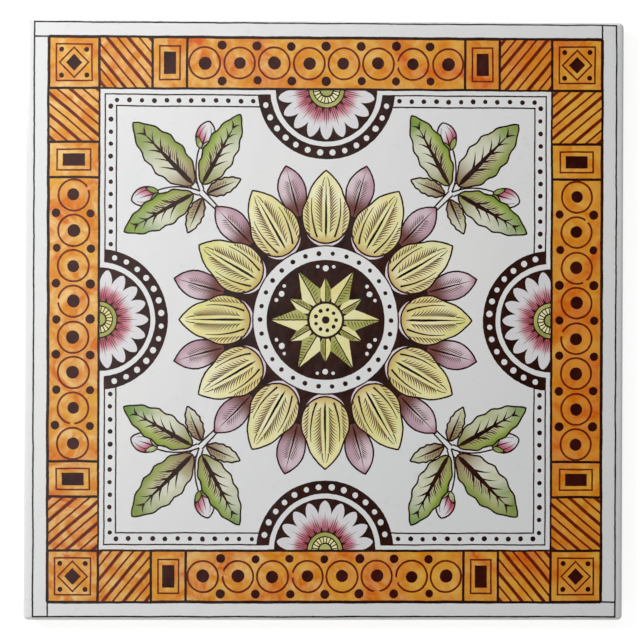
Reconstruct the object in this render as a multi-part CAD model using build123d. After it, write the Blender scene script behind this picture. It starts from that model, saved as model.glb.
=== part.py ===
from build123d import *
import os

# A dust-pressed, glazed wall tile of nominal 6 inch size, in millimetres. It lies on its back:
# the face is up, +Z, and the origin is the centre of the plane that the back's ribs rest on.
# The tile is pressed and fired in one piece, so it is one solid.

# Overall size of the fired tile
tile_side = 152.0
tile_thickness = 6.0
plan_corner_radius = 1.2

# The face is flat but for its margin, which falls a little to the edge. The glaze runs over the
# margin and over the small round-over at its rim.
margin_width = 2.3
margin_fall = 0.2
face_edge_radius = 0.8

# Under the face the sides stand upright for the height of the die's land. Below it they draw
# in by the die's draft, down to a broken arris at the back.
land_height = 2.4
draft_inset = 0.4
back_arris = 0.35

# The keyed back: ribs of one width and height stand round square pockets that have drafted
# sides and rounded corners. The adhesive bed fills the pockets and grips the ribs.
rim_width = 7.0
rib_width = 3.4
pocket_width = 19.8
pocket_depth = 0.5
pocket_corner_radius = 2.2
pocket_draft = 35.0

rim_height = tile_thickness - margin_fall
land_bottom = rim_height - face_edge_radius - land_height
back_side = tile_side - 2 * draft_inset
pocket_pitch = pocket_width + rib_width
keyed_side = back_side - 2 * rim_width
pockets_each_way = int((keyed_side + rib_width) // pocket_pitch)


def plan(side, height):
    """The tile's square outline with its rounded corners, at a height above the rib plane."""
    return Plane.XY.offset(height) * RectangleRounded(side, side, plan_corner_radius)


def land():
    """The upright part of the body and the face above it, with the rim of the face rounded."""
    sections = [
        plan(tile_side, land_bottom),
        plan(tile_side, rim_height),
        plan(tile_side - 2 * margin_width, tile_thickness),
    ]
    block = loft(sections, ruled=True)
    rim_edges = block.edges().filter_by_position(Axis.Z, rim_height - 0.01, rim_height + 0.01)
    return fillet(rim_edges, face_edge_radius)


def drafted_base():
    """The part of the body below the land, which draws in towards the back."""
    sections = [
        plan(back_side - 2 * back_arris, 0),
        plan(back_side, back_arris),
        plan(tile_side, land_bottom),
    ]
    return loft(sections, ruled=True)


def pocket():
    """One pocket of the back: its mouth in the rib plane, narrowing to a flat floor."""
    mouth = RectangleRounded(pocket_width, pocket_width, pocket_corner_radius)
    return extrude(mouth, pocket_depth, taper=pocket_draft)


def back_key():
    """All the pockets, as the press's lower die forms them, centred on the tile."""
    return GridLocations(pocket_pitch, pocket_pitch, pockets_each_way, pockets_each_way) * pocket()


tile = land() + drafted_base() - back_key()

os.makedirs("parts", exist_ok=True)
export_step(tile, "parts/tile.step")

print("pockets each way:", pockets_each_way)
print("rim beside the pockets, mm:", (back_side + rib_width - pockets_each_way * pocket_pitch) / 2)
print("volume, mm3:", tile.volume)
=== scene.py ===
import bpy
import math
import random
from mathutils import Matrix, Vector, noise
from mathutils.geometry import delaunay_2d_cdt, intersect_point_line


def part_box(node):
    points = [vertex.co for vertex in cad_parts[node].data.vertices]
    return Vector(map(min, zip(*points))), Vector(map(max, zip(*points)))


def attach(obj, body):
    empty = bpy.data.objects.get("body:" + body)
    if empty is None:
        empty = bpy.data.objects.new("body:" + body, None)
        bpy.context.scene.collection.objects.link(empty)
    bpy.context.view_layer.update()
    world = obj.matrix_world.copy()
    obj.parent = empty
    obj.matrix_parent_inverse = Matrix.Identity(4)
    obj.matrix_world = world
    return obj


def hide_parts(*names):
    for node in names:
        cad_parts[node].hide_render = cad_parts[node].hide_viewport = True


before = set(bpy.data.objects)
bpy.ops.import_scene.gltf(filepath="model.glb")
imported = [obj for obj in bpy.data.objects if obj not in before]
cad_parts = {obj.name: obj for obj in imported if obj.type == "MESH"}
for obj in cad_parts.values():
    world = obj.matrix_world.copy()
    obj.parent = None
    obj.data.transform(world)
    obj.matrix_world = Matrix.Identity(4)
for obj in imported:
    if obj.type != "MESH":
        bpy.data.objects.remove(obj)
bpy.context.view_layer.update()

tileLow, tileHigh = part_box("tile")
mm = 0.001
print("frame loaded, tile", [round((tileHigh[i] - tileLow[i]) / mm, 2) for i in range(3)], "mm")


# The pressed body, in millimetres, with its side and thickness read from the frame
body = {
    "halfSide": (tileHigh[0] - tileLow[0]) / mm / 2,
    "thickness": (tileHigh[2] - tileLow[2]) / mm,
    "cornerRadius": 1.2,
    "faceRound": 0.8,
    "marginFall": 0.2,  # the face falls a little along its margin
    "marginWidths": (1.95, 1.15),  # wider on the left and right than at the top and bottom
    "marginFoot": 0.6,  # the fall is complete this far in from the edge
    "marginRings": (0.02, 0.09, 0.2, 0.36, 0.56, 0.8, 1.0, 1.2, 1.45, 1.7, 1.95, 2.2),
    "landHeight": 2.4,
    "draftInset": 0.4,
    "backArris": 0.35,
    "edgeStep": 2.6,  # spacing of points along the outline
    "cornerSteps": 6,
}

# The keyed back, in millimetres
keyedBack = {
    "pocketsEachWay": 6,
    "pitch": 23.2,
    "width": 19.8,
    "depth": 0.5,
    "cornerRadius": 2.2,
    "draftDegrees": 35.0,
}

# The print: a square design, stretched and shifted a little as a transfer is when it is laid
design = {
    "stretch": (0.997, 1.0157),
    "shift": (0.31, 0.08),
    "outerRule": 73.95,
    "bandOuter": 70.3,
    "bandWidth": 12.8,
    "ruleWidth": 0.42,
    "heavyRule": 0.76,
    "innerShare": 0.8,  # of the heavy rule, for the line inside the band
    "partingShare": 0.85,  # of the heavy rule, for the lines across the band
    "lineStep": 0.75,  # spacing of points along a drawn line
    "wobble": 0.055,
    "wobbleScale": 0.16,
    "ragged": 0.032,
    "raggedScale": 1.1,
    "handSeed": 3,  # the same hand in every run
}
bandInner = design["bandOuter"] - design["bandWidth"]
bandMiddle = design["bandOuter"] - design["bandWidth"] / 2


def addObject(name, data):
    thing = bpy.data.objects.new(name, data)
    bpy.context.scene.collection.objects.link(thing)
    return thing


# A new node. Each input takes a plain value, a socket, or a node whose first output feeds it.
def addNode(tree, kind, inputs=None, **settings):
    node = tree.nodes.new(kind)
    for key, value in settings.items():
        setattr(node, key, value)
    for key, value in (inputs or {}).items():
        if isinstance(value, bpy.types.Node):
            value = value.outputs[0]
        if isinstance(value, bpy.types.NodeSocket):
            tree.links.new(value, node.inputs[key])
        else:
            node.inputs[key].default_value = value
    return node


def calculate(tree, operation, *values):
    return addNode(tree, "ShaderNodeMath", dict(enumerate(values)), operation=operation)


def between(tree, share, low, high):
    return addNode(tree, "ShaderNodeMapRange", {"Value": share, "To Min": low, "To Max": high})


def newTree(name, inputs):
    tree = bpy.data.node_groups.new(name, "GeometryNodeTree")
    for label, kind, value in [("Geometry", "Geometry", None)] + inputs:
        socket = tree.interface.new_socket(label, in_out="INPUT", socket_type="NodeSocket" + kind)
        if value is not None:
            socket.default_value = value
    tree.interface.new_socket("Geometry", in_out="OUTPUT", socket_type="NodeSocketGeometry")
    return tree, tree.nodes.new("NodeGroupInput").outputs


def endTree(tree, geometry, material):
    covered = addNode(tree, "GeometryNodeSetMaterial", {"Geometry": geometry, "Material": material})
    tree.links.new(covered.outputs[0], tree.nodes.new("NodeGroupOutput").inputs[0])
    return tree


def setInput(modifier, label, value):
    for item in modifier.node_group.interface.items_tree:
        if item.item_type == "SOCKET" and item.in_out == "INPUT" and item.name == label:
            modifier[item.identifier] = value
            return
    raise ValueError(label)


# One drawn shape, repeated in a row and then turned round the middle of the tile. Size and place
# vary a little from copy to copy, as they do in a hand-engraved plate.
def makeRepeatTree():
    tree, source = newTree("printRepeat", [
        ("Row Count", "Int", 1), ("Row Step", "Vector", (1, 0, 0)), ("Turns", "Int", 1),
        ("First Angle", "Float", 0.0), ("Size Spread", "Float", 0.0), ("Place Spread", "Float", 0.0),
        ("Seed", "Int", 1), ("Ink", "Material", None)])
    row = addNode(tree, "GeometryNodeMeshLine",
                  {"Count": source["Row Count"], "Offset": source["Row Step"]}, mode="OFFSET")
    inRow = addNode(tree, "GeometryNodeInstanceOnPoints", {"Points": row, "Instance": source["Geometry"]})
    turns = addNode(tree, "GeometryNodeMeshLine", {"Count": source["Turns"], "Offset": (0, 0, 0)},
                    mode="OFFSET")
    share = calculate(tree, "DIVIDE", addNode(tree, "GeometryNodeInputIndex"), source["Turns"])
    angle = calculate(tree, "MULTIPLY_ADD", share, math.tau, source["First Angle"])
    onTurns = addNode(tree, "GeometryNodeInstanceOnPoints",
                      {"Points": turns, "Instance": inRow,
                       "Rotation": addNode(tree, "ShaderNodeCombineXYZ", {"Z": angle})})
    real = addNode(tree, "GeometryNodeRealizeInstances", {"Geometry": onTurns})

    # each realized shape is one island, which drifts and swells as a whole
    island = addNode(tree, "GeometryNodeInputMeshIsland").outputs["Island Index"]
    chance = {"ID": island, "Seed": source["Seed"]}
    reach = source["Place Spread"]
    back = calculate(tree, "MULTIPLY", reach, -1.0)
    lowest = addNode(tree, "ShaderNodeCombineXYZ", {"X": back, "Y": back})
    highest = addNode(tree, "ShaderNodeCombineXYZ", {"X": reach, "Y": reach})
    drift = addNode(tree, "FunctionNodeRandomValue", {0: lowest, 1: highest, **chance},
                    data_type="FLOAT_VECTOR")
    moved = addNode(tree, "GeometryNodeSetPosition", {"Geometry": real, "Offset": drift})
    smallest = calculate(tree, "SUBTRACT", 1.0, source["Size Spread"])
    largest = calculate(tree, "ADD", 1.0, source["Size Spread"])
    swell = addNode(tree, "FunctionNodeRandomValue", {2: smallest, 3: largest, **chance},
                    data_type="FLOAT")
    sized = addNode(tree, "GeometryNodeScaleElements", {"Geometry": moved, "Scale": swell.outputs[1]})
    return endTree(tree, sized, source["Ink"])


# A patch of engraved shading: fine strokes along a line, longest in the middle of the patch
def makeHatchTree():
    tree, source = newTree("engraveHatch", [
        ("Strokes", "Int", 9), ("Start", "Vector", (0, 0, 0)), ("Step", "Vector", (1, 0, 0)),
        ("Lean", "Float", 1.0), ("Turn", "Float", 0.0), ("Shortest", "Float", 0.35),
        ("Ink", "Material", None)])
    row = addNode(tree, "GeometryNodeMeshLine",
                  {"Count": source["Strokes"], "Start Location": source["Start"],
                   "Offset": source["Step"]}, mode="OFFSET")
    last = calculate(tree, "ADD", source["Strokes"], 1.0)
    place = calculate(tree, "ADD", addNode(tree, "GeometryNodeInputIndex"), 1.0)
    along = calculate(tree, "DIVIDE", place, last)
    bell = calculate(tree, "SINE", calculate(tree, "MULTIPLY", along, math.pi))
    length = between(tree, bell, source["Shortest"], 1.0)
    curl = calculate(tree, "MULTIPLY_ADD", along, source["Turn"], source["Lean"])
    strokes = addNode(tree, "GeometryNodeInstanceOnPoints",
                      {"Points": row, "Instance": source["Geometry"],
                       "Rotation": addNode(tree, "ShaderNodeCombineXYZ", {"Z": curl}),
                       "Scale": addNode(tree, "ShaderNodeCombineXYZ", {"X": length, "Y": 1.0, "Z": 1.0})})
    real = addNode(tree, "GeometryNodeRealizeInstances", {"Geometry": strokes})
    return endTree(tree, real, source["Ink"])


# The back's pockets on their square grid
def makePocketTree():
    tree, source = newTree("keyPockets", [
        ("Each Way", "Int", 6), ("Pitch", "Float", 20.0), ("Clay", "Material", None)])
    count = source["Each Way"]
    span = calculate(tree, "MULTIPLY", calculate(tree, "SUBTRACT", count, 1.0), source["Pitch"])
    grid = addNode(tree, "GeometryNodeMeshGrid",
                   {"Size X": span, "Size Y": span, "Vertices X": count, "Vertices Y": count})
    cells = addNode(tree, "GeometryNodeInstanceOnPoints", {"Points": grid, "Instance": source["Geometry"]})
    real = addNode(tree, "GeometryNodeRealizeInstances", {"Geometry": cells})
    return endTree(tree, real, source["Clay"])


repeatTree = makeRepeatTree()
hatchTree = makeHatchTree()
pocketTree = makePocketTree()
print("geometry node trees built")


# Materials. A colour is written as its red, green and blue, each from 0 to 255.

def linear(tone):
    shares = [value / 255 for value in tone]
    return [share / 12.92 if share <= 0.04045 else ((share + 0.055) / 1.055) ** 2.4
            for share in shares] + [1.0]


def blend(tree, factor, first, second):
    first, second = [linear(tone) if isinstance(tone, tuple) else tone for tone in (first, second)]
    return addNode(tree, "ShaderNodeMix", {0: factor, 6: first, 7: second}, data_type="RGBA").outputs[2]


def mottle(tree, scale, detail=3.0, swirl=0.0, low=0.35, high=0.65):
    where = addNode(tree, "ShaderNodeTexCoord").outputs["Object"]
    cloud = addNode(tree, "ShaderNodeTexNoise",
                    {"Vector": where, "Scale": scale, "Detail": detail, "Distortion": swirl})
    return addNode(tree, "ShaderNodeMapRange",
                   {"Value": cloud.outputs["Fac"], "From Min": low, "From Max": high})


def ramp(tree, value, low, high):
    return addNode(tree, "ShaderNodeMapRange", {"Value": value, "From Min": low, "From Max": high},
                   interpolation_type="SMOOTHSTEP")


def tilePlace(tree):
    where = addNode(tree, "ShaderNodeTexCoord").outputs["Object"]
    return addNode(tree, "ShaderNodeSeparateXYZ", {0: where}).outputs


# A point's place within its own motif, in millimetres: outward from the motif's root, and across
def motifPlace(tree):
    where = addNode(tree, "ShaderNodeUVMap", uv_map="motif")
    parts = addNode(tree, "ShaderNodeSeparateXYZ", {0: where})
    return parts.outputs["X"], parts.outputs["Y"]


# A material from the function that gives its colour, roughness, and bump with strength and depth
def newMaterial(name, paint):
    material = bpy.data.materials.new(name)
    material.use_nodes = True
    tree = material.node_tree
    tone, roughness, height, strength, depth = paint(tree)
    bump = addNode(tree, "ShaderNodeBump", {"Height": height, "Strength": strength, "Distance": depth})
    shader = tree.nodes["Principled BSDF"].inputs
    tree.links.new(tone, shader["Base Color"])
    tree.links.new(roughness.outputs[0], shader["Roughness"])
    tree.links.new(bump.outputs[0], shader["Normal"])
    return material


glazeLook = {
    "roughnessLow": 0.05,
    "roughnessHigh": 0.11,
    "roughnessScale": 60.0,
    "rippleScale": 170.0,
    "rippleDepth": 0.00004,
}


# Every ink lies under the same clear glaze
def enamel(name, paint):
    def paintGlazed(tree):
        gloss = between(tree, mottle(tree, glazeLook["roughnessScale"], 2.0),
                        glazeLook["roughnessLow"], glazeLook["roughnessHigh"])
        ripple = mottle(tree, glazeLook["rippleScale"], 2.0)
        return paint(tree), gloss, ripple, 1.0, glazeLook["rippleDepth"]
    return newMaterial(name, paintGlazed)


def plain(scale, detail, swirl, first, second):
    def paint(tree):
        return blend(tree, mottle(tree, scale, detail, swirl), first, second)
    return paint


def paintWhite(tree):
    tone = blend(tree, mottle(tree, 12.0, 2.0), (238, 238, 237), (233, 234, 234))
    return blend(tree, mottle(tree, 420.0, 4.0, 0.0, 0.62, 0.95), tone, (222, 222, 220))


# Laid by hand: uneven, with redder pools and random paler patches, which grow towards the left as painted
# light from the lamp on that side
def paintOrange(tree):
    tone = blend(tree, mottle(tree, 110.0, 5.0, 1.4, 0.4, 0.6), (233, 172, 62), (222, 126, 10))
    tone = blend(tree, mottle(tree, 46.0, 4.0, 1.2, 0.5, 0.66), tone, (219, 94, 6))
    # painted light: the paler patches are made stronger towards the left, the side nearest the key lamp
    paintedLightLeft = ramp(tree, tilePlace(tree)["X"], 0.12, -0.08)
    pale = calculate(tree, "MULTIPLY", mottle(tree, 135.0, 5.0, 1.8, 0.42, 0.64), paintedLightLeft)
    tone = blend(tree, pale, tone, (243, 200, 126))
    return blend(tree, mottle(tree, 420.0, 4.0, 0.4, 0.4, 0.8), tone, (227, 150, 46))


# The rosette's petals: browner in their folds and towards the root
def paintYellow(tree):
    outward, across = motifPlace(tree)
    tone = blend(tree, mottle(tree, 90.0, 4.0, 0.8), (249, 245, 202), (243, 233, 163))
    tone = blend(tree, mottle(tree, 42.0, 3.0, 1.0, 0.5, 0.75), tone, (222, 222, 138))
    beside = ramp(tree, calculate(tree, "ABSOLUTE", across), 1.2, 2.6)
    fold = calculate(tree, "MULTIPLY", beside, ramp(tree, outward, 31.0, 22.5))
    tone = blend(tree, calculate(tree, "MULTIPLY", fold, 0.4), tone, (212, 184, 108))
    return blend(tree, ramp(tree, outward, 22.4, 18.6), tone, (208, 174, 100))


def paintMauve(tree):
    outward, across = motifPlace(tree)
    tone = blend(tree, mottle(tree, 120.0, 3.0, 0.6), (232, 216, 222), (216, 192, 202))
    tone = blend(tree, ramp(tree, across, 0.4, -2.8), tone, (196, 160, 174))
    tone = blend(tree, ramp(tree, outward, 37.2, 39.8), tone, (178, 116, 134))
    return blend(tree, ramp(tree, outward, 33.6, 29.0), tone, (118, 70, 64))


# A leaf is pale along one side of its midrib, with the edge colour round its tip and sides
def leaf(edge, middle, heart, length=20.0):
    def paint(tree):
        outward, across = motifPlace(tree)
        tone = blend(tree, ramp(tree, across, 1.4, -3.4), (226, 226, 206), middle)
        rough = calculate(tree, "MULTIPLY_ADD", mottle(tree, 90.0, 4.0, 0.9), 5.0, outward)
        tone = blend(tree, ramp(tree, rough, length * 0.62, length * 1.2), tone, edge)
        tone = blend(tree, ramp(tree, across, -1.8, -4.4), tone, edge)
        tone = blend(tree, mottle(tree, 70.0, 4.0, 1.2, 0.5, 0.8), tone, middle)
        return blend(tree, ramp(tree, outward, length * 0.4, 0.0), tone, heart)
    return paint


# White that blushes towards its root, and with a slant also down one side
def blush(slant, waver, paleReach, deepReach, rose, crimson):
    def paint(tree):
        outward, across = motifPlace(tree)
        slanted = calculate(tree, "MULTIPLY_ADD", across, slant, outward)
        rough = calculate(tree, "MULTIPLY_ADD", mottle(tree, 260.0, 3.0), waver, slanted)
        tone = blend(tree, ramp(tree, rough, *paleReach), (230, 228, 230), rose)
        return blend(tree, ramp(tree, rough, *deepReach), tone, crimson)
    return paint


paints = {
    "glazeWhite": paintWhite,
    "inkBrown": plain(260.0, 4.0, 0.0, (37, 14, 9), (55, 24, 15)),
    "inkBlack": plain(200.0, 3.0, 0.0, (30, 28, 28), (62, 58, 56)),
    "inkOnOrange": plain(240.0, 4.0, 0.0, (98, 22, 6), (124, 36, 10)),
    "inkMaroon": plain(260.0, 4.0, 0.0, (46, 7, 4), (66, 18, 10)),
    "inkFine": plain(300.0, 3.0, 0.0, (84, 48, 30), (116, 74, 46)),
    "washOrange": paintOrange,
    "washYellow": paintYellow,
    "washYellowFlat": plain(140.0, 4.0, 0.6, (245, 241, 194), (238, 227, 152)),
    "washMauve": paintMauve,
    "leafGreen": leaf((104, 146, 48), (172, 184, 88), (150, 150, 78)),
    "leafSage": leaf((136, 156, 74), (188, 188, 128), (146, 118, 84)),
    "leafBud": leaf((140, 160, 80), (178, 184, 100), (130, 132, 70), 4.0),
    "budBlush": blush(1.2, 0.9, (5.6, 2.0), (3.0, 0.4), (209, 122, 143), (182, 76, 97)),
    "blushPetal": blush(0.0, 1.1, (9.4, 6.6), (7.0, 5.4), (209, 126, 146), (184, 82, 102)),
    "washOlive": plain(150.0, 4.0, 0.5, (190, 192, 116), (158, 164, 82)),
    "washPale": plain(130.0, 3.0, 0.6, (238, 228, 232), (228, 210, 218)),
}
inks = {name: enamel(name, paint) for name, paint in paints.items()}

# The bare clay, and where the glaze stops on the sides, in metres
clayLook = {
    "pale": (226, 214, 196),
    "speck": (150, 126, 104),
    "grainDepth": 0.00012,
    "glazeEnd": 0.0037,
    "glazeWaver": 0.0011,
    "glazeSoftness": 0.00016,
}


def paintClay(tree, scale, dark):
    tone = blend(tree, mottle(tree, scale, 4.0), clayLook["pale"], dark)
    return blend(tree, mottle(tree, 1500.0, 2.0, 0.0, 0.62, 0.72), tone, clayLook["speck"])


def clayGrain(tree):
    return mottle(tree, 2200.0, 4.0, 0.0, 0.2, 0.8)


def paintBack(tree):
    dust = between(tree, mottle(tree, 90.0, 3.0), 0.78, 0.95)
    return paintClay(tree, 45.0, (210, 194, 172)), dust, clayGrain(tree), 0.8, clayLook["grainDepth"]


# The sides: glaze runs over the edge of the face and stops in an uneven line on the bare clay
def paintSide(tree):
    waver = calculate(tree, "MULTIPLY_ADD", mottle(tree, 110.0, 3.0, 0.5, 0.3, 0.7),
                      clayLook["glazeWaver"], tilePlace(tree)["Z"])
    glazed = ramp(tree, waver, clayLook["glazeEnd"], clayLook["glazeEnd"] + clayLook["glazeSoftness"])
    tone = blend(tree, glazed, paintClay(tree, 60.0, (208, 192, 170)), paintWhite(tree))
    height = calculate(tree, "SUBTRACT", clayGrain(tree), glazed)
    return tone, between(tree, glazed, 0.85, 0.08), height, 0.6, clayLook["grainDepth"]


bisqueClay = newMaterial("bisqueClay", paintBack)
sideClay = newMaterial("sideClay", paintSide)
print("materials built:", len(inks) + 2)


# Drawing. A shape is a list of x, y, u, v: its place on the print, and its place in its own motif.

def fineSteps(points, step):
    dense = []
    for first, second in zip(points, points[1:] + points[:1]):
        count = max(1, math.ceil(math.dist(first, second) / step))
        for index in range(count):
            share = index / count
            dense.append((first[0] + (second[0] - first[0]) * share,
                          first[1] + (second[1] - first[1]) * share))
    return dense


def sketch(points, at=(0.0, 0.0), angle=0.0, flip=1.0, step=None):
    points = fineSteps(list(points), step or design["lineStep"])
    turnX, turnY = math.cos(angle), math.sin(angle)
    return [(at[0] + x * turnX - y * flip * turnY, at[1] + x * turnY + y * flip * turnX, x, y)
            for x, y in points]


def disc(radius, centre=(0.0, 0.0)):
    corners = max(10, int(radius * 9))
    return [(centre[0] + radius * math.cos(math.tau * k / corners),
             centre[1] + radius * math.sin(math.tau * k / corners)) for k in range(corners)]


def rectangle(left, bottom, right, top):
    return [(left, bottom), (right, bottom), (right, top), (left, top)]


def stroke(start, end, width):
    start, end = Vector(start), Vector(end)
    along = end - start
    side = Vector((-along.y, along.x)).normalized() * width / 2
    return [tuple(start - side), tuple(end - side), tuple(end + side), tuple(start + side)]


# A pointed stroke that swells near its root, with an optional bow to one side
def sliver(length, width, bow=0.0, steps=8, swell=0.35, start=0.0):
    upper, lower = [], []
    for index in range(steps + 1):
        share = index / steps
        half = width / 2 * math.sin(math.pi * share ** (math.log(0.5) / math.log(swell)))
        middle = bow * 4 * share * (1 - share)
        upper.append((start + length * share, middle + half))
        lower.append((start + length * share, middle - half))
    return lower + upper[-2:0:-1]


# A leaf or petal outline from its round base to its pointed tip
def blade(length, width, baseRound, tipTaper, steps, start=0.0, waves=0, waveDepth=0.0):
    peak = baseRound / (baseRound + tipTaper)
    top = peak ** baseRound * (1 - peak) ** tipTaper
    upper, lower = [], []
    for index in range(steps + 1):
        share = (1 - math.cos(math.pi * index / steps)) / 2
        half = width / 2 * share ** baseRound * (1 - share) ** tipTaper / top
        half *= 1 - waveDepth * (0.5 - 0.5 * math.cos(math.tau * waves * share))
        upper.append((start + length * share, half))
        lower.append((start + length * share, -half))
    return lower + upper[-2:0:-1]


def reachTo(spot, a, b):
    share = intersect_point_line(spot, Vector(a), Vector(b))[1]
    return (spot - Vector(a).lerp(Vector(b), min(1, max(0, share)))).length


# The same outline a little smaller, without the points that would cross over near a sharp tip
def inset(points, distance):
    sharpest, slack, nearby = 0.45, 0.93, 3
    shrunk = []
    edges = list(zip(points, points[1:] + points[:1]))
    for before, here, after in zip(points[-1:] + points[:-1], points, points[1:] + points[:1]):
        first = Vector((here[0] - before[0], here[1] - before[1])).normalized()
        second = Vector((after[0] - here[0], after[1] - here[1])).normalized()
        normal = Vector((-first.y - second.y, first.x + second.x))
        if normal.length < 1e-6:
            normal = Vector((-first.y, first.x))
        normal.normalize()
        reach = distance / max(sharpest, normal.dot(Vector((-first.y, first.x))))
        spot = Vector((here[0] + normal.x * reach, here[1] + normal.y * reach))
        nearest = min(reachTo(spot, a, b) for a, b in edges if math.dist(a, spot) < nearby + math.dist(a, b))
        if nearest > distance * slack:
            shrunk.append(tuple(spot))
    return shrunk


def arcPoints(radius, first, last, step=0.8):
    count = max(2, int(abs(last - first) * radius / step))
    return [(radius * math.cos(first + (last - first) * k / count),
             radius * math.sin(first + (last - first) * k / count)) for k in range(count + 1)]


def bend(start, middle, end, steps=8):
    start, middle, end = Vector(start), Vector(middle), Vector(end)
    shares = [k / steps for k in range(steps + 1)]
    return [tuple(start.lerp(middle, share).lerp(middle.lerp(end, share), share)) for share in shares]


# A line of changing width along a path
def ribbon(path, startWidth, endWidth):
    left, right = [], []
    for index, here in enumerate(path):
        before, after = path[max(0, index - 1)], path[min(len(path) - 1, index + 1)]
        along = Vector((after[0] - before[0], after[1] - before[1])).normalized()
        half = (startWidth + (endWidth - startWidth) * index / (len(path) - 1)) / 2
        left.append((here[0] - along.y * half, here[1] + along.x * half))
        right.append((here[0] + along.y * half, here[1] - along.x * half))
    return right + left[::-1]


# The shapes that a geometry node tree makes of the given ones
def readShapes(shapes, tree, settings):
    mesh = bpy.data.meshes.new("drawing")
    points, faces = [], []
    for shape in shapes:
        faces.append(list(range(len(points), len(points) + len(shape))))
        points.extend(shape)
    mesh.from_pydata([(x, y, 0) for x, y, u, v in points], [], faces)
    motif = mesh.attributes.new("motifPlace", "FLOAT_VECTOR", "POINT")
    motif.data.foreach_set("vector", [value for x, y, u, v in points for value in (u, v, 0)])
    drawing = addObject("drawing", mesh)
    modifier = drawing.modifiers.new("repeat", "NODES")
    modifier.node_group = tree
    for label, value in settings.items():
        setInput(modifier, label, value)
    evaluated = drawing.evaluated_get(bpy.context.evaluated_depsgraph_get())
    result = bpy.data.meshes.new_from_object(evaluated)
    places = result.attributes["motifPlace"].data
    found = [[tuple(result.vertices[k].co[:2]) + tuple(places[k].vector[:2]) for k in polygon.vertices]
             for polygon in result.polygons]
    bpy.data.objects.remove(drawing)
    bpy.data.meshes.remove(result)
    bpy.data.meshes.remove(mesh)
    return found


coats = []


# Lays one ink on the print, in all four quarters unless turns says otherwise. Later coats cover
# earlier ones, and within keeps a coat to the region of that name.
def lay(ink, shapes, name=None, within=None, row=1, rowStep=(1.0, 0.0), turns=4, firstAngle=0.0,
        sizeSpread=0.0, placeSpread=0.0, seed=1, start=(0.0, 0.0)):
    shapes = [[(x + start[0], y + start[1], u, v) for x, y, u, v in shape] for shape in shapes]
    found = readShapes(shapes, repeatTree, {
        "Row Count": row, "Row Step": (rowStep[0], rowStep[1], 0.0), "Turns": turns,
        "First Angle": firstAngle, "Size Spread": sizeSpread, "Place Spread": placeSpread,
        "Seed": seed, "Ink": inks[ink]})
    coats.append({"ink": ink, "shapes": found, "name": name, "within": within})


# A wash inside a dark outline, which is the same shape a line's width larger underneath it
def layOutlined(ink, points, line, name=None, foot=(0.0, 0.0), angle=0.0, flip=1.0, **copies):
    lay("inkBrown", [sketch(points, foot, angle, flip)], **copies)
    lay(ink, [sketch(inset(points, line), foot, angle, flip)], name, **copies)


def layRule(start, end, width, ink="inkBrown"):
    lay(ink, [sketch(stroke(start, end, width))])


# The strokes of one patch of shading, as shapes for lay
def hatch(strokes, start, end, length, width, lean, turn=0.0, shortest=0.4, bow=0.0):
    gaps = max(1, strokes - 1)
    step = ((end[0] - start[0]) / gaps, (end[1] - start[1]) / gaps, 0.0)
    return readShapes([[(x, y, x, y) for x, y in sliver(length, width, bow, 4)]], hatchTree, {
        "Strokes": strokes, "Start": (start[0], start[1], 0.0), "Step": step, "Lean": lean,
        "Turn": turn, "Shortest": shortest, "Ink": inks["inkFine"]})


# The two thin frame lines round the whole print, with each inner line run on to the outer one
def drawRules():
    outer, inner, width = design["outerRule"], design["bandOuter"], design["ruleWidth"]
    layRule((-outer - width / 2, outer), (outer, outer), width, "inkBlack")
    layRule((-outer, inner), (inner, inner), width, "inkBlack")


border = {
    "hatchLength": 13.4,
    "hatchPitch": 2.1,
    "hatchHeavy": 0.84,
    "hatchLight": 0.48,
    "hatchDegrees": 50,
    "panelLength": 8.8,
    "panelFrame": (5.6, 8.8),
    "panelHeart": (3.1, 5.6),
    "panelLine": 0.42,
    "cornerSquare": 4.75,
    "cornerDiamond": 4.0,
    "cornerHeart": 2.1,
    "cornerSeed": 0.66,
    "cornerSeedReach": 3.2,
    "roundels": 8,
    "ringRadius": 4.15,
    "ringLine": 0.5,
    "eyeRadius": 1.60,
    "seedRadius": 1.14,
    "seedReach": 4.35,
    "breakShare": 0.3,
    "breakLengths": (0.9, 2.2),
    "breakSeed": 5,
}


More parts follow.
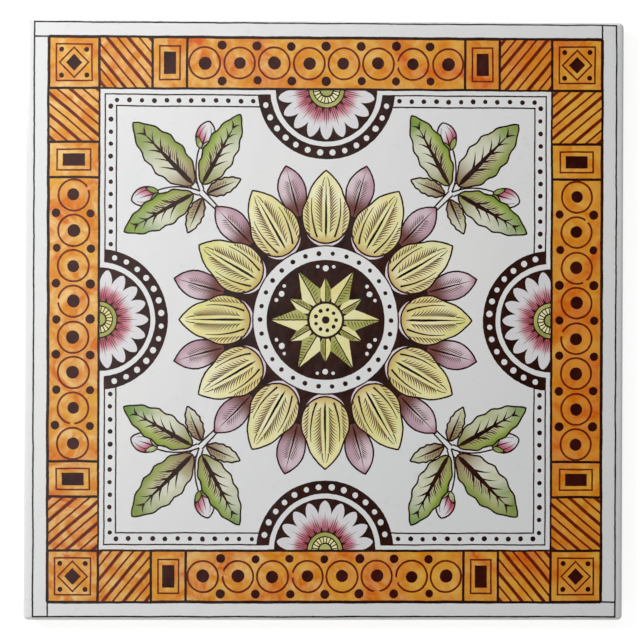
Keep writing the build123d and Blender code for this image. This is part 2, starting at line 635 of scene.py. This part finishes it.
def drawBorder():
    outer, inner, middle = design["bandOuter"], bandInner, bandMiddle
    heavy, light = design["heavyRule"], border["panelLine"]
    parting = heavy * design["partingShare"]
    overlap = 0.2
    hatchEnd = inner - border["hatchLength"]
    runEnd = hatchEnd - border["panelLength"]

    lay("washOrange", [sketch(rectangle(-outer, inner, inner, outer))], "band")
    layRule((-outer, outer), (outer, outer), heavy)
    layRule((-inner - overlap, inner), (inner + overlap, inner), heavy * design["innerShare"])

    # hatched blocks, alternately heavy and light, leaning towards the middle of each side
    lean = math.radians(border["hatchDegrees"])
    reach = (design["bandWidth"] + overlap) / math.sin(lean)
    step = 2 * border["hatchPitch"] / math.sin(lean)
    slope = design["bandWidth"] / math.tan(lean)
    for side in (-1, 1):
        left, right = sorted((side * inner, side * hatchEnd))
        block = "hatchLeft" if side < 0 else "hatchRight"
        lay("washOrange", [sketch(rectangle(left, inner + overlap, right, outer - 0.25))], block)
        for weight, phase in (("hatchHeavy", 0.25), ("hatchLight", 0.75)):
            first = left - slope + phase * step if side > 0 else left + phase * step
            line = sketch(stroke((-overlap, 0), (reach, 0), border[weight]), (first, inner),
                          lean if side > 0 else math.pi - lean)
            lay("inkOnOrange", [line], within=block, row=math.ceil((right - left + slope) / step),
                rowStep=(step, 0), placeSpread=0.12, seed=5 + side)

    # panels with a ruled frame round a dark block
    for side in (-1, 1):
        left, right = sorted((side * hatchEnd, side * runEnd))
        centre = (left + right) / 2
        frameWidth, frameHeight = border["panelFrame"]
        heartWidth, heartHeight = border["panelHeart"]
        for width, height, ink in ((frameWidth, frameHeight, "inkOnOrange"),
                                   (frameWidth - 2 * light, frameHeight - 2 * light, "washOrange"),
                                   (heartWidth, heartHeight, "inkMaroon")):
            block = rectangle(centre - width / 2, middle - height / 2,
                              centre + width / 2, middle + height / 2)
            lay(ink, [sketch(block)], placeSpread=0.05, seed=9)
        for edge in (left, right):
            layRule((edge, inner), (edge, outer), parting)

    # the corner squares: a square set in a square, with a dark heart and four seeds
    centre = (-middle, middle)
    layRule((-inner, inner - overlap / 2), (-inner, outer), parting)
    layRule((-inner, inner), (-outer, inner), parting)
    square = border["cornerSquare"]
    for half, ink in ((square, "inkOnOrange"), (square - light, "washOrange")):
        lay(ink, [sketch(rectangle(-half, -half, half, half), centre)])
    for half, ink in ((border["cornerDiamond"], "inkOnOrange"),
                      (border["cornerDiamond"] - 1.4 * light, "washOrange"),
                      (border["cornerHeart"], "inkMaroon")):
        lay(ink, [sketch([(half, 0), (0, half), (-half, 0), (0, -half)], centre)])
    away = border["cornerSeedReach"]
    for dx in (-away, away):
        for dy in (-away, away):
            lay("inkMaroon", [sketch(disc(border["cornerSeed"]), (centre[0] + dx, centre[1] + dy))])

    # roundels: a ring with a dark eye, and a pair of seeds between each two rings
    count, ring = border["roundels"], border["ringRadius"]
    pitch = 2 * runEnd / count
    first = (-runEnd + pitch / 2, middle)
    for size, ink in ((ring, "inkOnOrange"), (ring - border["ringLine"], "washOrange")):
        lay(ink, [sketch(disc(size))], row=count, rowStep=(pitch, 0), sizeSpread=0.012,
            placeSpread=0.07, seed=11, start=first)
    # here and there the transfer has missed a short stretch of a ring
    chance = random.Random(border["breakSeed"])
    for turn in range(4):
        gaps = []
        for index in range(count):
            if chance.random() < border["breakShare"]:
                angle = chance.uniform(0, math.tau)
                spot = (first[0] + pitch * index + (ring - 0.2) * math.cos(angle),
                        first[1] + (ring - 0.2) * math.sin(angle))
                length = chance.uniform(*border["breakLengths"])
                gaps.append(sketch(sliver(length, 1.1, 0, 4, 0.5), spot, angle + math.pi / 2))
        lay("washOrange", gaps, turns=1, firstAngle=turn * math.pi / 2)
    lay("inkMaroon", [sketch(disc(border["eyeRadius"]), first)], row=count, rowStep=(pitch, 0),
        sizeSpread=0.07, placeSpread=0.16, seed=12)
    for reach in (-border["seedReach"], border["seedReach"]):
        lay("inkMaroon", [sketch(disc(border["seedRadius"]), (-runEnd + pitch, middle + reach))],
            row=count - 1, rowStep=(pitch, 0), sizeSpread=0.08, placeSpread=0.14, seed=13 + int(reach > 0))


lunette = {
    "radius": 12.9,
    "petals": 9,
    "petalWidth": 3.15,
    "coreRadius": 4.7,
    # how far in each ring of the core starts
    "coreRings": ((0, "inkBrown"), (0.35, "washOlive"), (1.2, "inkBrown"), (1.5, "washYellowFlat"),
                  (2.8, "inkBrown"), (3.2, "washOlive")),
    "rungs": 10,
    "engraving": ((-0.5, 3.9), (0.0, 5.4), (0.5, 3.9)),
    "beadPitch": 3.1,
    "beadRadius": 0.62,
    "firstRule": 1.5,
    "secondRule": 4.4,
    "fineRule": 0.36,
}


# Half-round panels on the middle of each side, white petals blushed crimson on the dark ink,
# with a beaded strip that follows the band and arches over them
def drawLunettes():
    radius, inner, fine = lunette["radius"], bandInner, lunette["fineRule"]
    foot = (inner - 0.15, 0.0)
    half = math.pi / 2
    nearRule, farRule = lunette["firstRule"], lunette["secondRule"]
    field = inner - nearRule + fine / 2
    lay("glazeWhite", [sketch(rectangle(-field, -field, field, field))], "field", turns=1)
    for gap in (nearRule, farRule):
        level = inner - gap
        footing = math.sqrt((radius + gap) ** 2 - gap ** 2)
        for side in (-1, 1):
            layRule((level, side * footing), (level, side * (level + fine / 2)), fine)
    middleGap = (nearRule + farRule) / 2
    arch = radius + middleGap
    level = inner - middleGap
    footing = math.sqrt((radius + farRule) ** 2 - middleGap ** 2)
    count = round((level - footing) / lunette["beadPitch"])
    pitch = (level - footing) / count
    for side in (-1, 1):
        lay("inkBrown", [sketch(disc(lunette["beadRadius"]), (level, side * (footing + pitch / 2)))],
            row=count, rowStep=(0, side * pitch), sizeSpread=0.1, placeSpread=0.08, seed=21 + side)

    # the arch is a dark strip with white beads, which ends on the first thin line
    lay("inkBrown", [sketch(arcPoints(radius + nearRule - fine / 2, half, 3 * half)
                            + arcPoints(radius + farRule + fine / 2, 3 * half, half), (inner, 0))],
        within="field")
    sweep = math.pi - 3.0 * math.asin(nearRule / (radius + nearRule))
    beads = round(sweep * arch / lunette["beadPitch"])
    angles = [math.pi + sweep * ((index + 0.5) / beads - 0.5) for index in range(beads)]
    lay("glazeWhite", [sketch(disc(lunette["beadRadius"] * 1.2),
                              (inner + arch * math.cos(angle), arch * math.sin(angle))) for angle in angles],
        sizeSpread=0.1, placeSpread=0.08, seed=25)

    lay("inkBrown", [sketch(arcPoints(radius, half, 3 * half), foot)], "lunette")
    petals, engraved = [], []
    count, core = lunette["petals"], lunette["coreRadius"]
    petal = blade(radius - 0.55 - core + 0.9, lunette["petalWidth"], 0.95, 0.62, 12, core - 0.9)
    for index in range(count):
        angle = half + math.pi * (index + 0.5) / count
        petals.append(sketch(petal, foot, angle, step=1.2))
        for offset, reach in lunette["engraving"]:
            engraved.append(sketch([(x, y + offset) for x, y in sliver(reach, 0.24, 0, 4, 0.3, core - 0.2)],
                                   foot, angle, step=2))
    lay("blushPetal", petals, "lunettePetals")
    lay("inkFine", engraved, within="lunettePetals")
    for depth, ink in lunette["coreRings"]:
        lay(ink, [sketch(arcPoints(core - depth, half, 3 * half, 0.5), foot)])
    rung = stroke((core - 1.4, 0), (core - 2.9, 0), 0.26)
    lay("inkBrown", [sketch(rung, foot, half + math.pi * (k + 0.5) / lunette["rungs"], step=2)
                     for k in range(lunette["rungs"])])
    layRule((inner, -radius - 2), (inner, radius + 2), design["heavyRule"] * design["innerShare"])


rosette = {
    "petals": 12,
    "petalBase": 18.9,
    "petalTip": 37.4,
    "petalWidth": 12.7,
    "mauveBase": 23.0,
    "mauveTip": 40.0,
    "mauveWidth": 7.4,
    "collarRadius": 26.8,
    "scallopCentre": 23.7,
    "scallopRadius": 5.75,
    "ringOuter": 18.3,
    "ringInner": 15.0,
    "ringLine": 0.36,
    "beads": 30,
    "outline": 0.42,
    # the star's rays: length, shoulder and half width, place in sixths of a turn, and region
    "rays": ((10.6, 6.6, 1.9, 0.5, "shortShade"), (14.0, 7.2, 2.7, 0.0, "longShade")),
    "rayRoot": 3.2,
    "hub": ((4.7, "inkBrown"), (4.1, "washYellowFlat"), (1.0, "inkBrown")),
    "hubSeeds": 9,
}


def drawRosette():
    count, line = rosette["petals"], rosette["outline"]
    betweenPetals = {"turns": count, "firstAngle": math.pi / count}

    mauve = blade(rosette["mauveTip"] - rosette["mauveBase"], rosette["mauveWidth"], 1.5, 0.95, 18,
                  rosette["mauveBase"])
    layOutlined("washMauve", mauve, line, "mauves", **betweenPetals)
    strokes = []
    for side in (-1, 1):
        strokes += hatch(9, (29.8, side * 0.5), (35.0, side * 0.3), 2.6, 0.24, side * math.radians(42),
                         bow=side * -0.2)
    lay("inkFine", strokes, within="mauves", **betweenPetals)
    lay("inkBrown", [sketch(sliver(12.5, 0.5, 0, 8, 0.3, 26.5))], within="mauves", **betweenPetals)

    lay("inkBrown", [sketch(disc(rosette["collarRadius"]))], turns=1)
    for size, ink in ((rosette["scallopRadius"], "inkBrown"),
                      (rosette["scallopRadius"] - rosette["ringLine"], "washPale")):
        lay(ink, [sketch(disc(size), (rosette["scallopCentre"], 0))], turns=count)

    # a petal is a little slimmer where its tip starts
    petal = blade(rosette["petalTip"] - rosette["petalBase"], rosette["petalWidth"], 0.52, 0.84, 28,
                  rosette["petalBase"])
    petal = [(x, y * (1 - 0.09 * math.sin(math.pi * min(1, max(0, (x - 27) / 7))) ** 2)) for x, y in petal]
    layOutlined("washYellow", petal, line, "petals", turns=count)

    # each side of a petal folds down from the midrib, engraved with strokes that sweep outward
    folds = []
    ribs = [sketch(sliver(15.5, 0.62, 0, 10, 0.25, 20.2))]
    for side in (-1, 1):
        folds += hatch(15, (21.6, side * 0.9), (32.0, side * 0.9), 3.7, 0.34, side * math.radians(48),
                       side * math.radians(-16), bow=side * -0.35)
        folds += hatch(10, (21.0, side * 3.9), (28.6, side * 4.5), 2.6, 0.32, side * math.radians(56),
                       side * math.radians(-20), bow=side * -0.25)
        rib = bend((20.6, side * 2.2), (25.6, side * 4.2), (30.4, side * 3.6))
        tip = bend((33.2, side * 0.8), (34.4, side * 0.9), (35.6, side * 0.3), 4)
        ribs += [sketch(ribbon(rib, 0.5, 0.16)), sketch(ribbon(tip, 0.3, 0.12))]
    lay("inkFine", folds, within="petals", turns=count)
    lay("inkBrown", ribs, within="petals", turns=count)

    # the white ring with its beads, and the dark eye
    outer, inner = rosette["ringOuter"], rosette["ringInner"]
    for size, ink in ((outer + rosette["ringLine"], "inkBrown"), (outer, "glazeWhite"), (inner, "inkBrown")):
        lay(ink, [sketch(disc(size))], turns=1)
    lay("inkBrown", [sketch(disc(0.6), ((outer + inner) / 2, 0))],
        turns=rosette["beads"], sizeSpread=0.1, placeSpread=0.06, seed=31)

    # in the eye, a star of six long and six short rays, each split into a light and a shaded half
    sixth = math.tau / 6
    root = rosette["rayRoot"]
    for length, shoulder, width, place, name in rosette["rays"]:
        six = {"turns": 6, "firstAngle": sixth * place}
        for side, ink, region in ((1, "washYellowFlat", None), (-1, "washOlive", name)):
            lay(ink, [sketch([(root, 0.0), (shoulder, side * width), (length, 0.0)])], region, **six)
        shade = hatch(9, (shoulder - 1.6, -0.3), (length - 2.2, -0.1), width * 0.85, 0.24, math.radians(-64),
                      shortest=0.3)
        lay("inkFine", shade, within=name, **six)
        lay("inkBrown", [sketch(stroke((root, 0), (length, 0), 0.3))], **six)
    six = {"turns": 6, "firstAngle": sixth / 2}
    lay("glazeWhite", [sketch(disc(0.74), (12.9, 0))], sizeSpread=0.08, seed=32, **six)
    lay("glazeWhite", [sketch(disc(0.46), (13.3, side * 2.0)) for side in (-1, 1)], sizeSpread=0.1,
        seed=33, **six)
    for size, ink in rosette["hub"]:
        lay(ink, [sketch(disc(size))], turns=1)
    lay("inkBrown", [sketch(disc(0.5), (2.6, 0))], turns=rosette["hubSeeds"], sizeSpread=0.08, seed=34)


# The leaves of a corner spray: length, width, foot along and across the corner's diagonal, angle
# in degrees from it, and ink. The angled leaves are drawn in mirrored pairs.
spray = {
    "leaves": [
        (22.0, 10.2, 47.4, 0.0, 0.0, "leafSage"),
        (20.2, 8.8, 46.0, 1.5, 74.0, "leafGreen"),
        (9.6, 4.6, 43.6, 0.8, 112.0, "leafSage"),
    ],
    "outline": 0.42,
    "veins": 5,
    "veinDegrees": 36,
    "veinedLength": 12,  # smaller leaves have a midrib only
    "budLength": 7.4,
    "budWidth": 5.2,
    "sepalDegrees": 36,
    "stalkLine": 0.4,
    "stalkWidth": 1.5,
}
diagonal = {"firstAngle": math.radians(45)}


def drawLeaf(length, width, foot, angle, ink, side):
    scale = length / 20
    name = "leaf%d%d" % (round(length * 10), side)
    layOutlined(ink, blade(length, width, 0.62, 0.76, 34, 0.0, 5, 0.12), spray["outline"], name,
                foot, angle, side, **diagonal)
    shade = hatch(round(12 * scale), (length * 0.14, -0.5), (length * 0.52, -0.4), width * 0.34, 0.25,
                  math.radians(-50), bow=0.25)
    lay("inkFine", [sketch([(x, y) for x, y, u, v in shape], foot, angle, side, 3.0) for shape in shade],
        within=name, **diagonal)
    marks = [sketch(sliver(length * 0.88, width * 0.13, 0, 12, 0.22), foot, angle, side)]
    for index in range(spray["veins"] if length > spray["veinedLength"] else 0):
        root = length * (0.22 + 0.14 * index)
        reach = width * (0.56 - 0.07 * index)
        for across in (-1, 1):
            lean = across * math.radians(spray["veinDegrees"])
            vein = sliver(reach, 0.5 if index % 2 == 0 else 0.36, across * -0.35, 6, 0.28)
            marks.append(sketch([(root + x * math.cos(lean) - y * math.sin(lean),
                                  x * math.sin(lean) + y * math.cos(lean)) for x, y in vein],
                                foot, angle, side, 2.0))
    lay("inkBrown", marks, within=name, **diagonal)


# A bud on a stalk of two lines, with a pair of sepals at its base
def drawBud(side):
    line, width = spray["stalkLine"], spray["stalkWidth"]
    path = bend((45.0, side * 0.5), (50.0, side * 2.6), (52.6, side * 8.0), 10)
    for thick, ink in ((width, "inkBrown"), (width - 2 * line, "glazeWhite")):
        lay(ink, [sketch(ribbon(path, thick, thick))], **diagonal)
    foot, angle = (52.4, side * 7.6), side * math.radians(62)
    layOutlined("budBlush", blade(spray["budLength"], spray["budWidth"], 0.62, 0.66, 16), line, "bud",
                foot, angle, side, **diagonal)
    marks = [sketch(sliver(5.4, 0.4, 0, 6, 0.3), foot, angle, side)]
    for across in (-1, 1):
        marks.append(sketch(ribbon(bend((0.8, across * 0.8), (3.4, across * 2.1), (6.0, across * 0.7), 6),
                                   0.34, 0.1), foot, angle, side))
    lay("inkBrown", marks, within="bud", **diagonal)
    for across in (-1, 1):
        layOutlined("leafBud", blade(3.7, 1.7, 0.6, 0.8, 8), 0.3, None, foot,
                    angle + side * across * math.radians(spray["sepalDegrees"]), side, **diagonal)


def drawSprays():
    path = [(38.6, 0), (41.0, 0), (43.5, 0), (46.0, 0), (48.4, 0)]
    for start, end, ink in ((1.3, 2.2, "inkBrown"), (0.5, 1.4, "glazeWhite")):
        lay(ink, [sketch(ribbon(path, start, end))], **diagonal)
    for side in (-1, 1):
        drawBud(side)
    for length, width, along, across, degrees, ink in reversed(spray["leaves"]):
        for side in ((-1, 1) if degrees else (1,)):
            drawLeaf(length, width, (along, across * side), math.radians(degrees) * side, ink, side)


drawRules()
drawBorder()
drawLunettes()
drawSprays()
drawRosette()
print("print drawn:", len(coats), "coats,", sum(len(coat["shapes"]) for coat in coats), "shapes")


# The body's outline, as a ring at a given distance in from the widest section
def ringAt(distance, height):
    half = body["halfSide"] - distance
    radius = max(body["cornerRadius"] - distance, 0.0)
    straight = max(1, round(2 * (body["halfSide"] - body["cornerRadius"]) / body["edgeStep"]))
    points = []
    for corner in range(4):
        angle = corner * math.pi / 2
        turnX, turnY = math.cos(angle), math.sin(angle)
        side = [(half, -half + radius + 2 * (half - radius) * k / straight) for k in range(straight)]
        for k in range(body["cornerSteps"]):
            turn = math.pi / 2 * k / body["cornerSteps"]
            side.append((half - radius + radius * math.cos(turn), half - radius + radius * math.sin(turn)))
        points += [(x * turnX - y * turnY, x * turnY + y * turnX, height) for x, y in side]
    return points


# How far a point of the face lies in from the rounded square outline
def distanceIn(x, y):
    core = body["halfSide"] - body["cornerRadius"]
    overX, overY = abs(x) - core, abs(y) - core
    outside = math.hypot(max(overX, 0), max(overY, 0))
    return body["cornerRadius"] - outside - min(max(overX, overY), 0)


def faceHeight(x, y):
    slopes = []
    for place, width in zip((x, y), body["marginWidths"]):
        share = (width - (body["halfSide"] - abs(place))) / (width - body["marginFoot"])
        share = min(1.0, max(0.0, share))
        slopes.append(share * share * (2 - share))
    drop = body["marginFall"] * max(slopes)
    radius, distance = body["faceRound"], max(0.0, distanceIn(x, y))
    if distance < radius:
        drop += radius - math.sqrt(max(0.0, radius ** 2 - (radius - distance) ** 2))
    return body["thickness"] - drop


# Lines as drawn by hand: a slow wander, and a ragged edge where the ink has bled
def handDrawn(x, y):
    x = x * design["stretch"][0] + design["shift"][0]
    y = y * design["stretch"][1] + design["shift"][1]
    slow = noise.noise_vector(Vector((x, y, 3.7)) * design["wobbleScale"]) * design["wobble"]
    quick = noise.noise_vector(Vector((x, y, 9.1)) * design["raggedScale"]) * design["ragged"]
    return (x + slow.x * 2 + quick.x * 2, y + slow.y * 2 + quick.y * 2)


def signedArea(points):
    return sum(a[0] * b[1] - b[0] * a[1] for a, b in zip(points, points[1:] + points[:1])) / 2


# The map from a place on the print to a place in the motif, from three spread corners of a shape
def motifMap(shape):
    a = shape[0]
    b = max(shape, key=lambda p: (p[0] - a[0]) ** 2 + (p[1] - a[1]) ** 2)
    c = max(shape, key=lambda p: abs((b[0] - a[0]) * (p[1] - a[1]) - (b[1] - a[1]) * (p[0] - a[0])))
    place = Matrix(((b[0] - a[0], c[0] - a[0]), (b[1] - a[1], c[1] - a[1])))
    motif = Matrix(((b[2] - a[2], c[2] - a[2]), (b[3] - a[3], c[3] - a[3])))
    if abs(place.determinant()) < 1e-9:
        return None
    return Vector(a[:2]), Vector(a[2:]), motif @ place.inverted()


# Where the points of the outline, which were given first, stand among the divided points
def outlinePlaces(sourceVerts, count):
    places = [None] * count
    for index, sources in enumerate(sourceVerts):
        for source in sources:
            if source < count:
                places[source] = index
    return places


# The topmost of the coats that cover a spot, less those kept to a region that isn't there
def topmost(covers, owners, names):
    here = {owners[k][0] for k in covers if owners[k]}
    best = None
    for k in covers:
        owner = owners[k]
        if not owner or (best and owner[0] < best[0]):
            continue
        within = coats[owner[0]]["within"]
        if not within or names[within] & here:
            best = owner
    return best


# Divides the glazed face along every edge of the print, and gives each piece its topmost ink
def dividePrint():
    noise.seed_set(design["handSeed"])
    outline = ringAt(0.0, 0.0)
    points = [Vector((x, y)) for x, y, z in outline]
    faces = [list(range(len(points)))]
    owners = [None]
    edges = []
    for distance in body["marginRings"]:
        first = len(points)
        ring = ringAt(distance, 0.0)
        if distance >= body["cornerRadius"]:
            ring = [p for k, p in enumerate(ring) if k == 0 or math.dist(p, ring[k - 1]) > 1e-6]
        points += [Vector((x, y)) for x, y, z in ring]
        count = len(ring)
        edges += [(first + k, first + (k + 1) % count) for k in range(count)]
    names = {}
    for order, coat in enumerate(coats):
        if coat["name"]:
            names.setdefault(coat["name"], set()).add(order)
        for shape in coat["shapes"]:
            drawn = [handDrawn(x, y) for x, y, u, v in shape]
            if signedArea(drawn) < 0:
                drawn.reverse()
            quarter = len(drawn) // 4
            drawn = drawn[quarter:] + drawn[:quarter]
            faces.append(list(range(len(points), len(points) + len(drawn))))
            points += [Vector(p) for p in drawn]
            owners.append((order, motifMap(shape), abs(signedArea(drawn))))
    result = delaunay_2d_cdt(points, edges, faces, 1, 1e-4, True)
    verts, triangles, sourceVerts, sourceFaces = result[0], result[2], result[3], result[5]

    # a shape that crosses itself can be read inside out, and is left off
    areas = [0.0] * len(faces)
    for triangle, covers in zip(triangles, sourceFaces):
        size = signedArea([verts[k] for k in triangle])
        for k in covers:
            areas[k] += size
    spilt = {k for k, owner in enumerate(owners) if owner and areas[k] > owner[2] * 1.3 + 2}
    print("print divided:", len(triangles), "triangles,", len(spilt), "shapes left off")

    tops, kept = [], []
    for triangle, covers in zip(triangles, sourceFaces):
        if 0 in covers:
            kept.append(triangle)
            tops.append(topmost([k for k in covers if k not in spilt], owners, names))
    used = sorted({k for triangle in kept for k in triangle})
    place = {old: new for new, old in enumerate(used)}
    kept = [tuple(place[k] for k in triangle) for triangle in kept]
    ring = [place[k] for k in outlinePlaces(sourceVerts, len(outline))]
    return [verts[k] for k in used], kept, tops, ring


def roundedSquare(half, radius, steps=4):
    points = []
    for corner in range(4):
        for k in range(steps + 1):
            angle = math.pi / 2 * (corner + k / steps)
            cornerX = (half - radius) * (1 if corner in (0, 3) else -1)
            cornerY = (half - radius) * (1 if corner in (0, 1) else -1)
            points.append((cornerX + radius * math.cos(angle), cornerY + radius * math.sin(angle)))
    return points


# The back is divided along the mouths and floors of its pockets
def divideBack():
    outline = ringAt(body["draftInset"] + body["backArris"], 0.0)
    points = [Vector((x, y)) for x, y, z in outline]
    heights = [0.0] * len(points)
    faces = [list(range(len(points)))]
    taper = keyedBack["depth"] * math.tan(math.radians(keyedBack["draftDegrees"]))
    settings = {"Each Way": keyedBack["pocketsEachWay"], "Pitch": keyedBack["pitch"], "Clay": bisqueClay}
    for narrower, height in ((0.0, 0.0), (taper, keyedBack["depth"])):
        square = roundedSquare(keyedBack["width"] / 2 - narrower, keyedBack["cornerRadius"] - narrower)
        for shape in readShapes([sketch(square, step=40)], pocketTree, settings):
            loop = [(x, y) for x, y, u, v in shape]
            if signedArea(loop) < 0:
                loop.reverse()
            faces.append(list(range(len(points), len(points) + len(loop))))
            points += [Vector(p) for p in loop]
            heights += [height] * len(loop)
    result = delaunay_2d_cdt(points, [], faces, 1, 1e-5, True)
    verts, triangles, sourceVerts = result[0], result[2], result[3]
    solid = [(v.x, v.y, heights[sources[0]] if sources else 0.0) for v, sources in zip(verts, sourceVerts)]
    return solid, triangles, outlinePlaces(sourceVerts, len(outline))


# Where each part of the surface goes in the baked image: the face has most of it
bakeSheet = {"face": 0.86, "edge": 0.008, "strip": 0.028}


def buildTile():
    verts, triangles, tops, faceRing = dividePrint()
    points = [(v.x, v.y, faceHeight(v.x, v.y)) for v in verts]
    slots = {name: index for index, name in enumerate(inks)}
    sideSlot, backSlot = len(inks), len(inks) + 1
    faces, faceSlots, bakePlaces, motifPlaces = [], [], [], []
    half, share, edge, strip = body["halfSide"], bakeSheet["face"], bakeSheet["edge"], bakeSheet["strip"]

    def fromAbove(spot, corner, size):
        return tuple(corner + (place + half) / (2 * half) * size for place in spot[:2])

    for triangle, top in zip(triangles, tops):
        faces.append(triangle)
        faceSlots.append(slots[coats[top[0]]["ink"]] if top else slots["glazeWhite"])
        mapping = top[1] if top else None
        for spot in [verts[k] for k in triangle]:
            bakePlaces.append(fromAbove(spot, edge, share))
            if mapping:
                flat = Vector([(spot[k] - design["shift"][k]) / design["stretch"][k] for k in range(2)])
                motifPlaces.append(tuple(mapping[1] + mapping[2] @ (flat - mapping[0])))
            else:
                motifPlaces.append((0.0, 0.0))

    # the sides, ring by ring down to the back
    landBottom = body["thickness"] - body["marginFall"] - body["faceRound"] - body["landHeight"]
    faceEdge = points[faceRing[0]][2]
    levels = [(0.0, faceEdge + (landBottom - faceEdge) * k / 4) for k in range(1, 5)]
    levels += [(body["draftInset"] * k / 3, landBottom + (body["backArris"] - landBottom) * k / 3)
               for k in range(1, 4)]
    rings = [faceRing]
    for distance, height in levels:
        ring = ringAt(distance, height)
        rings.append(list(range(len(points), len(points) + len(ring))))
        points += ring
    backPoints, backTriangles, backRing = divideBack()
    backFirst = len(points)
    points += backPoints
    rings.append([backFirst + k for k in backRing])
    count = len(faceRing)
    quarter = count // 4
    corner = share + 2 * edge
    for step, (upper, lower) in enumerate(zip(rings, rings[1:])):
        for k in range(count):
            n = (k + 1) % count
            faces.append((upper[k], lower[k], lower[n], upper[n]))
            faceSlots.append(sideSlot)
            side = k // quarter
            for right, down in ((0, 0), (0, 1), (1, 1), (1, 0)):
                long = edge + (k - side * quarter + right) / quarter * share
                wide = corner + (side % 2) * (strip + edge) + (step + down) / (len(rings) - 1) * strip
                bakePlaces.append((long, wide) if side < 2 else (wide, long))

    # the back fits in the corner that the two strips leave
    for triangle in backTriangles:
        faces.append(tuple(backFirst + k for k in reversed(triangle)))
        faceSlots.append(backSlot)
        bakePlaces += [fromAbove(backPoints[k], corner, 1 - corner - edge) for k in reversed(triangle)]
    motifPlaces += [(0.0, 0.0)] * (len(bakePlaces) - len(motifPlaces))

    mesh = bpy.data.meshes.new("tileGlazed")
    mesh.from_pydata([(x * mm, y * mm, z * mm) for x, y, z in points], [], faces)
    for material in list(inks.values()) + [sideClay, bisqueClay]:
        mesh.materials.append(material)
    mesh.polygons.foreach_set("material_index", faceSlots)
    for name, places in (("OFBake", bakePlaces), ("motif", motifPlaces)):
        layer = mesh.uv_layers.new(name=name)
        layer.data.foreach_set("uv", [value for place in places for value in place])
    mesh.polygons.foreach_set("use_smooth", [True] * len(faces))
    mesh.update()
    mesh.set_sharp_from_angle(angle=math.radians(32))
    tile = addObject("tileGlazed", mesh)
    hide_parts("tile")
    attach(tile, "root")
    print("tile built:", len(points), "points,", len(faces), "faces")


buildTile()


studio = {
    "floorSize": 5.0,
    "floorColour": (0.86, 0.86, 0.86, 1.0),
    "floorLift": 0.72,
    "skyLow": 1.0,
    "skyDim": 0.04,
    "skyBright": 0.95,
    "skySide": 0.16,
    "panelTowards": (-0.93, 0.37, 0.0),
    "panelStart": (-0.13, 0.2),
    "panelEnd": (0.44, 0.26),
    "horizon": (0.4, 0.1),
    "keyPlace": (-0.3, 0.18, 0.34),
    "keySize": 0.12,
    "keyWatts": 1.7,
}


# A pale floor that renders white to the camera and still takes the tile's shadow
def makeFloor():
    half = studio["floorSize"] / 2
    mesh = bpy.data.meshes.new("studioFloor")
    corners = [(x, y, 0) for x, y in rectangle(-half, -half, half, half)]
    mesh.from_pydata(corners, [], [(0, 1, 2, 3)])
    material = bpy.data.materials.new("studioPaper")
    material.use_nodes = True
    tree = material.node_tree
    shader = tree.nodes["Principled BSDF"].inputs
    shader["Base Color"].default_value = studio["floorColour"]
    shader["Roughness"].default_value = 0.9
    shader["Emission Color"].default_value = (1, 1, 1, 1)
    rays = addNode(tree, "ShaderNodeLightPath").outputs
    seen = calculate(tree, "MAXIMUM", rays["Is Camera Ray"], rays["Is Glossy Ray"])
    seen = calculate(tree, "MAXIMUM", seen, rays["Is Transmission Ray"])
    lift = calculate(tree, "MULTIPLY", seen, studio["floorLift"])
    tree.links.new(lift.outputs[0], shader["Emission Strength"])
    mesh.materials.append(material)
    addObject("studioFloor", mesh)


# The sky is white at the horizon, with one broad pale panel overhead on the left that the glaze
# reflects as a faint haze
def makeSky():
    world = bpy.data.worlds.new("studioSky")
    bpy.context.scene.world = world
    world.use_nodes = True
    tree = world.node_tree
    where = addNode(tree, "ShaderNodeTexCoord").outputs["Generated"]
    parts = addNode(tree, "ShaderNodeSeparateXYZ", {0: where})
    towards = addNode(tree, "ShaderNodeVectorMath", {0: where, 1: studio["panelTowards"]},
                      operation="DOT_PRODUCT").outputs["Value"]
    panel = between(tree, ramp(tree, towards, *studio["panelEnd"]), studio["skySide"], studio["skyBright"])
    high = between(tree, ramp(tree, towards, *studio["panelStart"]), studio["skyDim"], panel)
    level = between(tree, ramp(tree, parts.outputs["Z"], *studio["horizon"]), high, studio["skyLow"])
    background = tree.nodes["Background"].inputs
    background["Color"].default_value = (1, 1, 1, 1)
    tree.links.new(level.outputs[0], background["Strength"])


def makeLamp(name, place, size, watts):
    lamp = bpy.data.lights.new(name, "AREA")
    lamp.shape = "DISK"
    lamp.size = size
    lamp.energy = watts
    light = addObject(name, lamp)
    light.location = place
    light.rotation_euler = (-Vector(place)).to_track_quat("-Z", "Y").to_euler()


# The camera looks down from a little left of the middle, so the tile's left side is nearer. Its
# place follows from where the tile stands in the picture.
view = {
    "lens": 90.0,
    "sensor": 36.0,
    "pictureWidth": 644,
    "tileWidthPixels": 599.2,
    "tileCentrePixels": (323.95, 320.25),
    "turnDegrees": 0.2,
    "leanDegrees": 1.1,
}


def makeCamera():
    camera = bpy.data.cameras.new("photoCamera")
    camera.lens = view["lens"]
    camera.sensor_width = view["sensor"]
    camera.clip_start = 0.01
    pixel = 2 * body["halfSide"] * mm / view["tileWidthPixels"]
    span = view["pictureWidth"] * pixel
    widest = (body["thickness"] - body["faceRound"]) * mm
    height = span * view["lens"] / view["sensor"] + widest
    right, down = [(place - view["pictureWidth"] / 2) * pixel for place in view["tileCentrePixels"]]
    lean = math.radians(view["leanDegrees"])
    eye = addObject("photoCamera", camera)
    eye.location = (-right - height * math.sin(lean), down, height * math.cos(lean))
    eye.rotation_euler = (0, -lean, math.radians(view["turnDegrees"]))
    bpy.context.scene.camera = eye


makeFloor()
makeSky()
makeLamp("keySoftbox", studio["keyPlace"], studio["keySize"], studio["keyWatts"])
makeCamera()
bpy.context.scene.view_settings.view_transform = "Standard"
print("studio and camera set")
